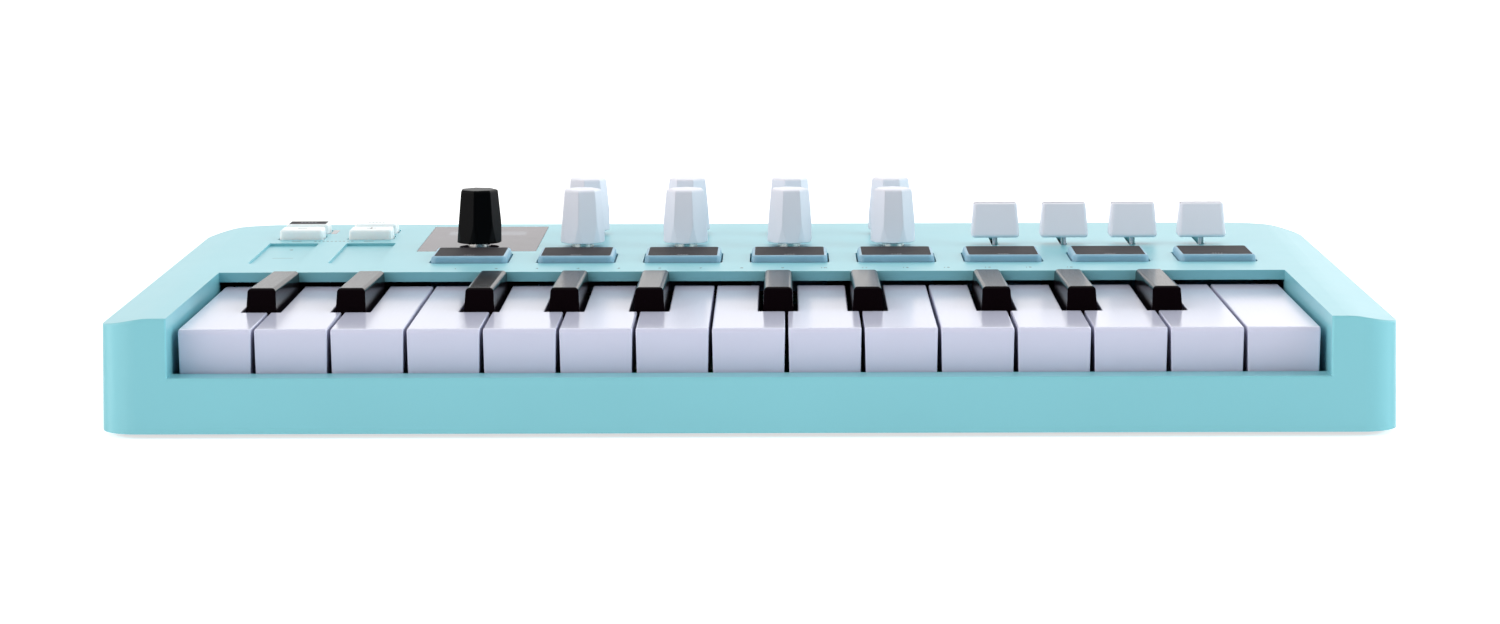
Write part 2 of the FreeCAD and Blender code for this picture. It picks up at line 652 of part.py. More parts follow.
def white_key(i):
    """White key i: a moulding open underneath, with its tail and hook."""
    left, right, back_left, back_right = white_sides(i)
    body = white_plan(i, 0, WHITE_REAR_Y, WHITE_BOTTOM_Z, WHITE_TOP_Z)
    body = body.common(white_side_profile(left - 1, right + 1))
    body = body.common(drafted_slab(left, right))
    top_edges = [e for e in edges_at_height(body, WHITE_TOP_Z)
                 if e.BoundBox.YMax > WHITE_FRONT_Y + 2 and e.BoundBox.YMin < WHITE_REAR_Y - EPS]
    body = body.makeFillet(0.4, top_edges)
    hollow = white_plan(i, KEY_WALL, WHITE_REAR_Y - 6, WHITE_BOTTOM_Z - 1, WHITE_TOP_Z - KEY_TOP_THICKNESS)
    above_spring = box(left, right, WHITE_REAR_Y - 7, WHITE_REAR_Y + 1, WHITE_BOTTOM_Z - 1, TAIL_BOTTOM_Z)
    body = body.cut(hollow).cut(above_spring)
    centre = (back_left + back_right) / 2
    key = fuse([body, contact_plunger(centre)] + key_tail(centre, WHITE_REAR_Y - 7))
    return [key.cut(hook_bore(centre))]


def black_key(centre):
    """A black key: sloped sides and front, a top that falls slightly to the back, tail and hook."""
    base = BLACK_BASE_WIDTH / 2
    top = BLACK_TOP_WIDTH / 2
    high = BLACK_TOP_FRONT_Z + 1
    grow = (high - WHITE_TOP_Z) / (BLACK_TOP_FRONT_Z - WHITE_TOP_Z)
    narrow = base - (base - top) * grow
    section = [V(centre - base, 0, BLACK_BOTTOM_Z), V(centre + base, 0, BLACK_BOTTOM_Z),
               V(centre + base, 0, WHITE_TOP_Z), V(centre + narrow, 0, high),
               V(centre - narrow, 0, high), V(centre - base, 0, WHITE_TOP_Z)]
    body = prism(section, V(0, CASE_DEPTH, 0))
    x0 = centre - base - 1
    side = [V(x0, BLACK_FRONT_Y, BLACK_BOTTOM_Z), V(x0, BLACK_FRONT_Y, WHITE_TOP_Z - 1),
            V(x0, BLACK_TOP_FRONT_Y, BLACK_TOP_FRONT_Z), V(x0, BLACK_REAR_Y, BLACK_TOP_REAR_Z),
            V(x0, BLACK_REAR_Y, BLACK_BOTTOM_Z)]
    body = body.common(prism(side, V(2 * base + 2, 0, 0)))
    crown = [e for e in body.Edges
             if e.BoundBox.ZMin > WHITE_TOP_Z + 1 and e.BoundBox.YMin < BLACK_REAR_Y - EPS]
    body = body.makeFillet(BLACK_EDGE_RADIUS, crown)
    hollow = box(centre - base + KEY_WALL, centre + base - KEY_WALL, BLACK_FRONT_Y + 2.5, BLACK_REAR_Y - 2,
                 BLACK_BOTTOM_Z - 1, WHITE_TOP_Z + 1.5)
    body = body.cut(hollow)
    link = box(centre - TAIL_HALF_WIDTH, centre + TAIL_HALF_WIDTH, BLACK_REAR_Y - 1, WHITE_REAR_Y,
               BLACK_BOTTOM_Z, TAIL_TOP_Z)
    key = fuse([body, link, contact_plunger(centre)] + key_tail(centre, WHITE_REAR_Y - 7))
    return [key.cut(hook_bore(centre))]


def tail_centres():
    """Tail centre line of every key, from left to right."""
    centres = list(black_centres().values())
    for i in range(WHITE_COUNT):
        _, _, back_left, back_right = white_sides(i)
        centres.append((back_left + back_right) / 2)
    return sorted(centres)


# ---- keybed internals --------------------------------------------------------------------


def key_chassis():
    """The plate below the keys with the hinge rail, its ribs and a guide post for each key."""
    half = CHASSIS_HALF_WIDTH
    parts = [box(-half, half, CHASSIS_FRONT_Y, CHASSIS_REAR_Y, CHASSIS_BOTTOM_Z, CHASSIS_TOP_Z)]
    tails = tail_centres()
    thick = RIB_THICKNESS / 2
    rib_xs = [-half + thick] + [(a + b) / 2 for a, b in zip(tails, tails[1:])] + [half - thick]
    for x in rib_xs:
        parts.append(box(x - thick, x + thick, PIVOT_Y - RIB_DEPTH, CHASSIS_REAR_Y,
                         CHASSIS_TOP_Z - 1, PIVOT_Z + 2 * RAIL_RADIUS))
    parts.append(Part.makeCylinder(RAIL_RADIUS, 2 * half, V(-half, PIVOT_Y, PIVOT_Z), RIGHT))
    for i in range(WHITE_COUNT):
        x = (white_edge(i) + white_edge(i + 1)) / 2
        parts.append(centred_box(x, WHITE_GUIDE_Y, *WHITE_GUIDE, CHASSIS_TOP_Z - 1, WHITE_GUIDE_TOP_Z))
    for x in black_centres().values():
        parts.append(centred_box(x, BLACK_GUIDE_Y, *BLACK_GUIDE, CHASSIS_TOP_Z - 1, BLACK_GUIDE_TOP_Z))
    for y in (CONTACT_BOARD_FRONT_Y + 2, CONTACT_BOARD_REAR_Y - 2):
        parts.append(box(-half, half, y - 1, y + 1, CHASSIS_TOP_Z - 1, CONTACT_BOARD_Z))
    chassis = fuse(parts)
    cuts = [post(x, y, SCREW_RADIUS + SCREW_HOLE_CLEARANCE, 0, 10) for x, y in CHASSIS_SCREWS]
    cuts.append(centred_box(CABLE_X, CABLE_FRONT_Y + 0.5, *CABLE_SLOT, 0, CHASSIS_TOP_Z + 2))
    return [chassis.cut(Part.makeCompound(cuts))]


def key_springs():
    """One coil return spring under each key's tail, standing on the chassis."""
    low = CHASSIS_TOP_Z + SPRING_WIRE_RADIUS
    height = TAIL_BOTTOM_Z - SPRING_SLACK - SPRING_WIRE_RADIUS - low
    helix = Part.makeHelix(SPRING_PITCH, height, SPRING_RADIUS)
    section = []
    for i in range(SPRING_WIRE_SIDES + 1):
        angle = 2 * math.pi * i / SPRING_WIRE_SIDES
        section.append(V(SPRING_RADIUS + SPRING_WIRE_RADIUS * math.cos(angle), 0,
                         SPRING_WIRE_RADIUS * math.sin(angle)))
    coil = Part.Wire(helix.Edges).makePipeShell([Part.makePolygon(section)], True, True)
    springs = []
    for x in tail_centres():
        spring = coil.copy()
        spring.translate(V(x, SPRING_Y, low))
        springs.append(spring)
    return springs


def key_contact_board():
    """The long board under the keys and one silicone contact dome for each key."""
    half = CHASSIS_HALF_WIDTH - 2
    top = CONTACT_BOARD_Z + BOARD_THICKNESS
    board = box(-half, half, CONTACT_BOARD_FRONT_Y, CONTACT_BOARD_REAR_Y, CONTACT_BOARD_Z, top)
    solids = [board]
    for x in tail_centres():
        skirt_top = top + DOME_SKIRT_HEIGHT
        skirt = post(x, CONTACT_Y, DOME_SKIRT_RADIUS, top, skirt_top)
        dome = Part.makeCone(DOME_FOOT_RADIUS, DOME_TOP_RADIUS, DOME_HEIGHT, V(x, CONTACT_Y, skirt_top))
        solids.append(skirt.fuse(dome))
    return solids


# ---- controls ----------------------------------------------------------------------------


def pad(x):
    """A drum pad: a rubber block with a flange under the panel and a sloped rim above it."""
    y = PAD_CENTRE_Y
    shoulder = CASE_HEIGHT + 0.2
    foot_z = CONTROL_BOARD_TOP_Z + 0.4 + PAD_TRAVEL
    foot = rounded_around(x, y, PAD_BASE, 0, foot_z, shoulder, PAD_CORNER_RADIUS)
    flange = rounded_around(x, y, PAD_BASE, PAD_FLANGE, PAD_FLANGE_BOTTOM_Z, FLANGE_TOP_Z, 2.0)
    rim = tapered_block(x, y, PAD_BASE, PAD_TOP, shoulder, PAD_TOP_Z, PAD_CORNER_RADIUS)
    body = fuse([foot, flange, rim])
    return [body.makeFillet(PAD_EDGE_RADIUS, edges_at_height(body, PAD_TOP_Z))]


def button(column, row):
    """A push button: a tapered cap above the panel, a flange under it and a stem over its switch."""
    x = BUTTON_COLUMNS_X[column]
    y = BUTTON_ROWS_Y[row]
    radius = BUTTON_CORNER_RADIUS
    neck = rounded_around(x, y, BUTTON_BASE, 0, FLANGE_TOP_Z - 0.2, CASE_HEIGHT, radius)
    cap = tapered_block(x, y, BUTTON_BASE, BUTTON_TOP, CASE_HEIGHT, BUTTON_TOP_Z, radius)
    flange = rounded_around(x, y, BUTTON_BASE, BUTTON_FLANGE, BUTTON_FLANGE_BOTTOM_Z, FLANGE_TOP_Z, 1.2)
    stem = centred_box(x, y, BUTTON_STEM, BUTTON_STEM, BUTTON_STEM_BOTTOM_Z, BUTTON_FLANGE_BOTTOM_Z + 0.5)
    body = fuse([neck, cap, flange, stem])
    return [body.makeFillet(BUTTON_EDGE_RADIUS, edges_at_height(body, BUTTON_TOP_Z))]


def knob_flat_cutter():
    """What one flat takes off the round cap, on its -Y side; the flat leans in towards the top."""
    rate = (KNOB_FLAT_TOP - KNOB_FLAT_BOTTOM) / (KNOB_TOP_Z - KNOB_BOTTOM_Z)
    beyond = 2.0
    low = KNOB_FLAT_BOTTOM - rate * beyond
    high = KNOB_FLAT_TOP + rate * beyond
    outside = 2 * KNOB_RADIUS
    points = [V(-outside, -low, KNOB_BOTTOM_Z - beyond), V(-outside, -high, KNOB_TOP_Z + beyond),
              V(-outside, -outside, KNOB_TOP_Z + beyond), V(-outside, -outside, KNOB_BOTTOM_Z - beyond)]
    return prism(points, V(2 * outside, 0, 0))


def knob_form():
    """The outside of a knob cap on the Z axis: round at its foot, seven-sided at its top."""
    form = post(0, 0, KNOB_RADIUS, KNOB_BOTTOM_Z, KNOB_TOP_Z)
    form = form.makeFillet(KNOB_FOOT_EDGE_RADIUS, edges_at_height(form, KNOB_BOTTOM_Z))
    for i in range(KNOB_FLATS):
        cutter = knob_flat_cutter()
        cutter.rotate(V(0, 0, 0), UP, (i + 0.5) * 360 / KNOB_FLATS)
        form = form.cut(cutter)
    return form.makeFillet(KNOB_TOP_EDGE_RADIUS, edges_at_height(form, KNOB_TOP_Z))


def knob_cap():
    """A cap with its hollow skirt and its hub around the spindle."""
    form = knob_form()
    roof = KNOB_BOTTOM_Z + KNOB_SKIRT_DEPTH
    skirt = post(0, 0, KNOB_SKIRT_RADIUS, KNOB_BOTTOM_Z - 1, roof)
    hub = post(0, 0, KNOB_HUB_RADIUS, KNOB_BOTTOM_Z + KNOB_HUB_RECESS, roof)
    return form.cut(skirt.cut(hub))


def place_knob(solids, x, y, turn):
    """Turns a knob to where it was last left and moves it to its place on the panel."""
    for solid in solids:
        solid.rotate(V(0, 0, 0), UP, turn)
        solid.translate(V(x, y, 0))
    return solids


def flatted_spindle(z0):
    """A round spindle from z0 up, with a flat on the length that a cap grips."""
    spindle = post(0, 0, SPINDLE_RADIUS, z0, SPINDLE_TOP_Z)
    return spindle.cut(box(-5, 5, SPINDLE_FLAT, 5, KNOB_BOTTOM_Z, SPINDLE_TOP_Z + 1))


def knob(x, y, turn):
    """A cap and its spindle, which runs in the encoder's bush."""
    spindle = flatted_spindle(SPINDLE_BOTTOM_Z)
    cap = knob_cap().cut(spindle)
    return place_knob([cap, spindle], x, y, turn)


def main_encoder_knob():
    """The black cap and its spindle, whose square end slides in the rotor."""
    square_end = centred_box(0, 0, SQUARE_END, SQUARE_END, SQUARE_END_BOTTOM_Z, SQUARE_END_TOP_Z + 0.1)
    spindle = fuse([flatted_spindle(SQUARE_END_TOP_Z), square_end])
    cap = knob_cap().cut(spindle)
    return place_knob([cap, spindle], GRID_FIRST_X, KNOB_FRONT_Y, ENCODER_REST_TURN)


def main_encoder_rotor():
    """The disc inside the encoder body that turns with the spindle and lets it slide through."""
    side = SQUARE_END + 2 * RUNNING_CLEARANCE
    disc = post(0, 0, ROTOR_RADIUS, ROTOR_BOTTOM_Z, ROTOR_TOP_Z)
    hole = centred_box(0, 0, side, side, ROTOR_BOTTOM_Z - 1, ROTOR_TOP_Z + 1)
    return place_knob([disc.cut(hole)], GRID_FIRST_X, KNOB_FRONT_Y, ENCODER_REST_TURN)


def fader_cap():
    """A hollow fader cap around the Z axis, with a line sunk into its top."""
    foot_z = FADER_CAP_BOTTOM_Z
    top_z = FADER_CAP_TOP_Z
    roof_z = foot_z + FADER_HOLLOW_DEPTH
    cap = tapered_block(0, 0, FADER_CAP_BASE, FADER_CAP_TOP, foot_z, top_z, FADER_CAP_CORNER_RADIUS)
    cap = cap.makeFillet(FADER_CAP_FOOT_RADIUS, edges_at_height(cap, foot_z))
    cap = cap.makeFillet(FADER_CAP_EDGE_RADIUS, edges_at_height(cap, top_z))
    line = centred_box(0, 0, 2 * FADER_CAP_TOP[0], FADER_LINE_WIDTH, top_z - FADER_LINE_DEPTH, top_z + 1)
    hollow = tapered_block(0, 0, FADER_HOLLOW_FOOT, FADER_HOLLOW_ROOF, foot_z - EPS, roof_z, 0.4)
    core = centred_box(0, 0, 5, LEVER_DEPTH + 1.2, foot_z + 1, roof_z + 1)
    return cap.cut(line).cut(hollow.cut(core))


def fader(x):
    """A fader cap on its flat lever, standing at the front end of its slot."""
    lever = centred_box(x, FADER_REST_Y, LEVER_WIDTH, LEVER_DEPTH, LEVER_BOTTOM_Z, FADER_CAP_TOP_Z - 4)
    cap = fader_cap()
    cap.translate(V(x, FADER_REST_Y, 0))
    return [cap.cut(lever), lever]


# ---- boards and what is soldered to them -------------------------------------------------


def rotary_encoder_body(x, y):
    """An encoder's body and threaded bush, bored for the spindle."""
    body = centred_box(x, y, ENCODER_BODY, ENCODER_BODY, CONTROL_BOARD_TOP_Z, PANEL_UNDER_Z - 0.2)
    bush = post(x, y, BUSH_RADIUS, PANEL_UNDER_Z - 1, BUSH_TOP_Z)
    bore = post(x, y, SPINDLE_RADIUS + RUNNING_CLEARANCE, SPINDLE_BOTTOM_Z - 0.6, BUSH_TOP_Z + 1)
    return body.fuse(bush).cut(bore)


def main_encoder_body():
    """The push encoder's body, with room for its rotor."""
    x = GRID_FIRST_X
    y = KNOB_FRONT_Y
    body = centred_box(x, y, MAIN_ENCODER_BODY, MAIN_ENCODER_BODY, CONTROL_BOARD_TOP_Z, PANEL_UNDER_Z - 0.2)
    bush = post(x, y, BUSH_RADIUS, PANEL_UNDER_Z - 1, BUSH_TOP_Z)
    bore = post(x, y, SPINDLE_RADIUS + RUNNING_CLEARANCE, ROTOR_TOP_Z - 1.4, BUSH_TOP_Z + 1)
    chamber = post(x, y, ROTOR_RADIUS + 0.1, ROTOR_BOTTOM_Z - 0.1, ROTOR_TOP_Z + 0.1)
    well = post(x, y, SQUARE_END - 0.2, SQUARE_END_BOTTOM_Z - 0.8, ROTOR_BOTTOM_Z + 0.3)
    return body.fuse(bush).cut(Part.makeCompound([bore, chamber, well]))


def slide_control_body(x):
    """A slide control's long body with the slot that its lever runs in."""
    middle = FADER_REST_Y + FADER_TRAVEL / 2
    body = centred_box(x, middle, *SLIDE_BODY, CONTROL_BOARD_TOP_Z, PANEL_UNDER_Z - 0.5)
    slot = centred_box(x, middle, LEVER_WIDTH + 0.6, FADER_TRAVEL + LEVER_DEPTH + 1.2,
                       LEVER_BOTTOM_Z - 1, PANEL_UNDER_Z)
    return body.cut(slot)


def button_switch(column, row):
    """The small switch under a button."""
    x = BUTTON_COLUMNS_X[column]
    y = BUTTON_ROWS_Y[row]
    case = centred_box(x, y, SWITCH_BODY, SWITCH_BODY, CONTROL_BOARD_TOP_Z, SWITCH_TOP_Z)
    return case.fuse(post(x, y, SWITCH_CAP_RADIUS, SWITCH_TOP_Z - 0.4, SWITCH_CAP_TOP_Z))


def control_board():
    """The main board with every control that is soldered to it."""
    top = CONTROL_BOARD_TOP_Z
    under = top - BOARD_THICKNESS
    half = CONTROL_BOARD_HALF_WIDTH
    board = box(-half, half, CONTROL_BOARD_FRONT_Y, CONTROL_BOARD_REAR_Y, under, top)
    hole_radius = SCREW_RADIUS + SCREW_HOLE_CLEARANCE
    holes = [post(x, y, hole_radius, under - 1, top + 1) for x, y in BOARD_SCREWS]
    solids = [board.cut(Part.makeCompound(holes))]
    solids += [rotary_encoder_body(x, y) for x in KNOB_XS for y in (KNOB_FRONT_Y, KNOB_REAR_Y)]
    solids.append(main_encoder_body())
    solids += [slide_control_body(x) for x in FADER_XS]
    solids += [button_switch(column, row) for column, row in BUTTONS.values()]
    for x in PAD_XS:
        solids.append(centred_box(x, PAD_CENTRE_Y, *PAD_SENSOR, top, top + 0.3))
    for x in STRIP_CENTRES_X:
        solids.append(box(x - 7, x + 7, STRIP_FRONT_Y + 1, STRIP_REAR_Y - 1, top, PANEL_UNDER_Z - 0.3))
    x0, x1, y0, y1 = DISPLAY
    solids.append(box(x0 - 1.6, x1 + 1.6, y0 - 2, y1 + 2, top, PANEL_UNDER_Z - 0.2))
    solids.append(box(-30, -16, 150, 164, under - 1.6, under))
    return solids


def connector_board():
    """The small board at the back with the USB, MIDI and pedal sockets."""
    z = CONNECTOR_BOARD_Z
    top = z + BOARD_THICKNESS
    board = box(*CONNECTOR_BOARD_X, CONNECTOR_BOARD_FRONT_Y, CASE_DEPTH - WALL - 0.5, z, top)
    holes = [post(x, y, SCREW_RADIUS + SCREW_HOLE_CLEARANCE, z - 1, top + 1) for x, y in CONNECTOR_SCREWS]
    board = board.cut(Part.makeCompound(holes))
    inner = CASE_DEPTH - WALL - 0.2
    return [board, usb_socket(top, inner), din_socket(top, inner), jack_socket(top, inner)]


def usb_socket(base_z, inner_y):
    """The USB-C socket: a flat metal shell around a tongue."""
    width, height = USB_OUTER
    wall = (width - USB_INNER[0]) / 2
    middle_z = base_z + height / 2
    shell = box(USB_X - width / 2, USB_X + width / 2, inner_y - 7, CASE_DEPTH - 0.4, base_z, base_z + height)
    mouth = box(USB_X - width / 2 + wall, USB_X + width / 2 - wall, inner_y - 5, CASE_DEPTH,
                middle_z - USB_INNER[1] / 2, middle_z + USB_INNER[1] / 2)
    tongue = box(USB_X - 3.3, USB_X + 3.3, inner_y - 5.5, CASE_DEPTH - 1.4, middle_z - 0.35, middle_z + 0.35)
    return shell.cut(mouth).fuse(tongue)


def din_socket(base_z, inner_y):
    """The five-pin round MIDI socket."""
    body = box(DIN_X - 9.5, DIN_X + 9.5, inner_y - 10.5, inner_y, base_z, DIN_Z + 10)
    nose_length = CASE_DEPTH - SOCKET_RECESS - (inner_y - 4)
    nose = Part.makeCylinder(DIN_RADIUS, nose_length, V(DIN_X, inner_y - 4, DIN_Z), BACK)
    recess = Part.makeCylinder(6.9, 8, V(DIN_X, CASE_DEPTH - 7, DIN_Z), BACK)
    core = Part.makeCylinder(5.8, 5.7, V(DIN_X, CASE_DEPTH - 7.5, DIN_Z), BACK)
    socket = body.fuse(nose).cut(recess).fuse(core)
    for i in range(5):
        angle = math.radians(45 * i)
        x = DIN_X + 3.5 * math.cos(angle)
        z = DIN_Z + 3.5 * math.sin(angle)
        socket = socket.cut(Part.makeCylinder(0.7, 5, V(x, CASE_DEPTH - 6, z), BACK))
    return socket


def jack_socket(base_z, inner_y):
    """The 6.35 mm pedal socket."""
    body = box(JACK_X - 8, JACK_X + 8, inner_y - 22, inner_y, base_z, 19.4)
    nose_length = CASE_DEPTH - SOCKET_RECESS - (inner_y - 2)
    nose = Part.makeCylinder(JACK_RADIUS, nose_length, V(JACK_X, inner_y - 2, JACK_Z), BACK)
    bore = Part.makeCylinder(JACK_BORE_RADIUS, 20, V(JACK_X, CASE_DEPTH - 19, JACK_Z), BACK)
    return body.fuse(nose).cut(bore)


def flat_cable():
    """The flat cable from the key contacts, under the chassis and up to the main board."""
    x0 = CABLE_X - CABLE_WIDTH / 2
    x1 = CABLE_X + CABLE_WIDTH / 2
    low = WALL + 0.6
    t = CABLE_THICKNESS
    front = box(x0, x1, CABLE_FRONT_Y, CABLE_FRONT_Y + t, low, CONTACT_BOARD_Z)
    run = box(x0, x1, CABLE_FRONT_Y, CABLE_REAR_Y, low, low + t)
    rear = box(x0, x1, CABLE_REAR_Y - t, CABLE_REAR_Y, low, CONTROL_BOARD_TOP_Z - BOARD_THICKNESS)
    return fuse([front, run, rear])


def circuit_boards():
    """Both boards behind the keybed, with their soldered parts and the flat cable."""
    return control_board() + connector_board() + [flat_cable()]


# ---- window, feet and screws -------------------------------------------------------------


def display_window():
    """The thin glossy window, flush in the panel, with a round hole for the main encoder."""
    x0, x1, y0, y1 = WINDOW
    gap = 0.1
    plate = rounded_block(x0 + gap, x1 - gap, y0 + gap, y1 - gap,
                          CASE_HEIGHT - WINDOW_THICKNESS, CASE_HEIGHT, 0.4)
    return [plate.cut(post(GRID_FIRST_X, KNOB_FRONT_Y, WINDOW_HOLE_RADIUS, 0, CASE_HEIGHT + 1))]


def rubber_feet():
    """Four round feet, each set into a shallow recess."""
    feet = []
    for x, y in FEET:
        foot = post(x, y, FOOT_RADIUS, -FOOT_HEIGHT, FOOT_RECESS)
        feet.append(foot.makeFillet(0.5, edges_at_height(foot, -FOOT_HEIGHT)))
    return feet


def screw(x, y, head_z, length):
    """A pan-head screw; a positive length points up from its head, a negative one points down."""
    sign = 1 if length > 0 else -1
    head_low = head_z - SCREW_HEAD_HEIGHT if sign > 0 else head_z
    head = post(x, y, SCREW_HEAD_RADIUS, head_low, head_low + SCREW_HEAD_HEIGHT)
    shank = post(x, y, SCREW_RADIUS, min(head_z, head_z + length), max(head_z, head_z + length))
    body = head.fuse(shank).removeSplitter()
    outer_z = head_z - sign * SCREW_HEAD_HEIGHT
    z0, z1 = sorted((outer_z, outer_z + sign * SCREW_CROSS_DEPTH))
    long, wide = SCREW_CROSS
    cross = [centred_box(x, y, long, wide, z0, z1), centred_box(x, y, wide, long, z0, z1)]
    return body.cut(cross[0].fuse(cross[1]))


def screws():
    """All case, chassis and board screws."""
    group = [screw(x, y, 3.0, 8.5) for x, y in CASE_SCREWS]
    group += [screw(x, y, CHASSIS_TOP_Z, -5.0) for x, y in CHASSIS_SCREWS]
    group += [screw(x, y, CONNECTOR_BOARD_Z + BOARD_THICKNESS, -5.0) for x, y in CONNECTOR_SCREWS]
    group += [screw(x, y, CONTROL_BOARD_TOP_Z - BOARD_THICKNESS, 6.5) for x, y in BOARD_SCREWS]
    return group


# ---- output ------------------------------------------------------------------------------


def write_node(name, solids):
    """Moves a node's solids to the row frame and writes them to its STEP file."""
    moved = []
    for shape in solids:
        for solid in shape.Solids:
            piece = solid.copy()
            piece.translate(V(0, -CASE_DEPTH / 2, FOOT_HEIGHT))
            moved.append(piece)
    whole = moved[0] if len(moved) == 1 else Part.makeCompound(moved)
    whole.exportStep(os.path.join("parts", name + ".step"))


def key_nodes():
    """Name and solids of every key; octaves are numbered from the left."""
    nodes = {}
    for i in range(WHITE_COUNT):
        nodes["white_key_%s%d" % (WHITE_NAMES[i % 7], i // 7 + 1)] = white_key(i)
    for i, centre in black_centres().items():
        nodes["black_key_%s%d" % (BLACK_NAMES[i % 7], i // 7 + 1)] = black_key(centre)
    return nodes


def control_nodes():
    """Name and solids of every control that moves."""
    nodes = {"main_encoder_knob": main_encoder_knob(), "main_encoder_rotor": main_encoder_rotor()}
    for row, y in (("front", KNOB_FRONT_Y), ("rear", KNOB_REAR_Y)):
        for i, x in enumerate(KNOB_XS):
            nodes["knob_%s_%d" % (row, i + 1)] = knob(x, y, KNOB_REST_TURNS[row][i])
    for i, x in enumerate(PAD_XS):
        nodes["pad_%d" % (i + 1)] = pad(x)
    for i, x in enumerate(FADER_XS):
        nodes["fader_%d" % (i + 1)] = fader(x)
    for name, (column, row) in BUTTONS.items():
        nodes[name] = button(column, row)
    return nodes


def fixed_nodes():
    """Name and solids of everything that stays still."""
    return {"top_cover": top_cover(), "bottom_cover": bottom_cover(), "key_chassis": key_chassis(),
            "key_springs": key_springs(), "key_contact_board": key_contact_board(),
            "circuit_boards": circuit_boards(), "display_window": display_window(),
            "rubber_feet": rubber_feet(), "screws": screws()}


os.makedirs("parts", exist_ok=True)
for nodes in (fixed_nodes(), key_nodes(), control_nodes()):
    for node_name, node_solids in nodes.items():
        write_node(node_name, node_solids)
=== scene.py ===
import math

import bmesh
import bpy
from mathutils import Matrix, Vector


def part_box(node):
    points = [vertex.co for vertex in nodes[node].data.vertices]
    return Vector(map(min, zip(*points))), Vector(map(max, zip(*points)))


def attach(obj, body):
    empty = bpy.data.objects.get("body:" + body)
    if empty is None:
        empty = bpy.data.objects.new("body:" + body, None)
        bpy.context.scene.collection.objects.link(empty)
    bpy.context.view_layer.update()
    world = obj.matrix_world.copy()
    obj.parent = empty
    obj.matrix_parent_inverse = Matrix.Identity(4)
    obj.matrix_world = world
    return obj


# The looks of a compact 25-key MIDI keyboard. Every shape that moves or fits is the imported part's own; this
# script gives each its material, adds the printed marks, and sets up the floor, the light and the camera.

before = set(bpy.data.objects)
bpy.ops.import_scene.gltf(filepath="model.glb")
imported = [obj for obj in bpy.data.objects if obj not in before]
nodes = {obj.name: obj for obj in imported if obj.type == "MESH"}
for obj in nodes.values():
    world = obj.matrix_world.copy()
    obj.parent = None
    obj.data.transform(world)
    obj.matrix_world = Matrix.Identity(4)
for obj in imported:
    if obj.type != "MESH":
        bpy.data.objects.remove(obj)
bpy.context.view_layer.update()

MM = 0.001

# An edge is shaded sharp from this angle in degrees, and a face counts as the flat top of its piece when it
# lies this close below the highest point and is this nearly level.
SHARP_FROM = 24.0
FLAT_TOP = 0.005 * MM
FLAT_NORMAL = 0.9999

# Where one CAD piece changes material.
SPINDLE_RADIUS = 3.05 * MM
SPINDLE_TOP_DEPTH = 7.3 * MM
FADER_CAP_HEIGHT = 10.81 * MM
FADER_LINE_DEPTH = 0.35 * MM
FADER_LINE_HALF_WIDTH = 1.2 * MM
BOARD_LAYERS = ((6.5 * MM, 8.1 * MM), (21.9 * MM, 23.5 * MM))
BOARD_EDGE = 2.0 * MM
BUSH_FROM_Z = 31.5 * MM
USB_FROM_Y = 98.0 * MM
USB_TO_X = 45.0 * MM
USB_LAYER = (8.2 * MM, 12.0 * MM)
LAYER_MARGIN = 0.001 * MM

BUTTONS = ("octave_down_button", "octave_up_button", "shift_button", "hold_button")

# The display's active area, as shares of the window's width and depth.
DISPLAY_ACROSS = (0.166, 0.835)
DISPLAY_ALONG = (0.65, 0.797)


# ---- node graph helpers ------------------------------------------------------------------


